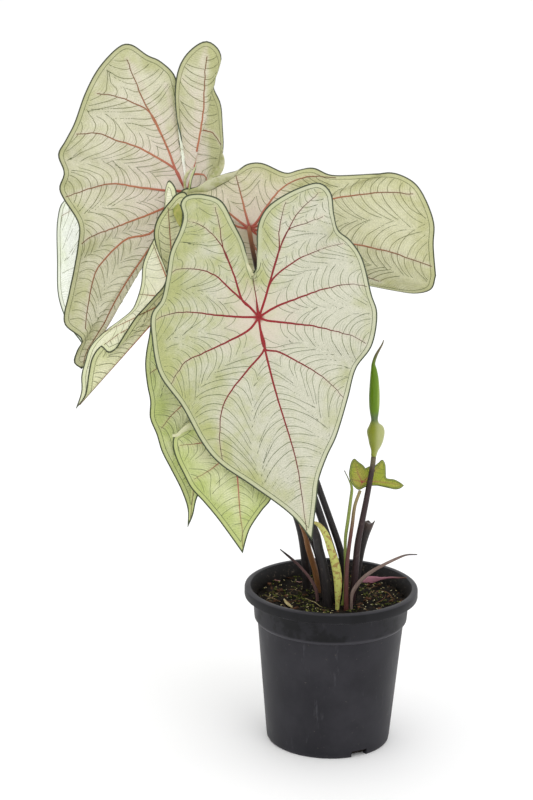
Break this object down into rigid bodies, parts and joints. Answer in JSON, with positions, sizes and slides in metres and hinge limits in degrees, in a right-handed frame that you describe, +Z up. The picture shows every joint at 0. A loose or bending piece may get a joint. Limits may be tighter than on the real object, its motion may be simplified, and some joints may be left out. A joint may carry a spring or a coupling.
{
  "type": "potted caladium plant",
  "caption": "Potted caladium with broad heart-shaped, dark-veined leaves on slender dark stalks and a closed flower bud, standing in a round nursery pot.",
  "frame": {"origin": "centre of the flat pad under the pot, on the surface it stands on", "axes": "+Z up along the pot's axis, the plant's front (the face of its largest leaf) toward -Y, +X to the right seen from the front"},
  "size_m": [0.2616, 0.1591, 0.4739],
  "materials": {
    "pot_plastic": "satin",
    "potting_mix": "rough",
    "tuber_skin": "rough",
    "leaf_upper": "satin",
    "leaf_under": "satin",
    "stalk_dark": "satin",
    "stalk_brown": "satin",
    "flower_stalk": "satin",
    "bud_green": "satin",
    "young_green": "satin",
    "dry_sheath": "matte",
    "fallen_pink": "matte"
  },
  "bodies": {
    "root": {"pot": "pot_plastic", "soil": "potting_mix", "tuber": "tuber_skin", "front_blade": "leaf_upper", "low_left_blade": "leaf_upper", "low_mid_blade": "leaf_upper", "small_blade": "young_green", "left_blade": "leaf_under", "right_blade": "leaf_under", "folded_blade": "leaf_under", "front_petiole": "stalk_dark", "left_petiole": "stalk_dark", "right_petiole": "stalk_dark", "low_left_petiole": "stalk_dark", "low_mid_petiole": "stalk_dark", "folded_petiole": "stalk_brown", "small_petiole": "stalk_brown", "cut_stub": "stalk_dark", "peduncle": "flower_stalk", "spathe": "bud_green", "rolled_leaf": "young_green", "yellow_sheath": "young_green", "right_sheath": "dry_sheath", "left_sheath": "dry_sheath", "fallen_leaf": "fallen_pink"}
  },
  "joints": []
}
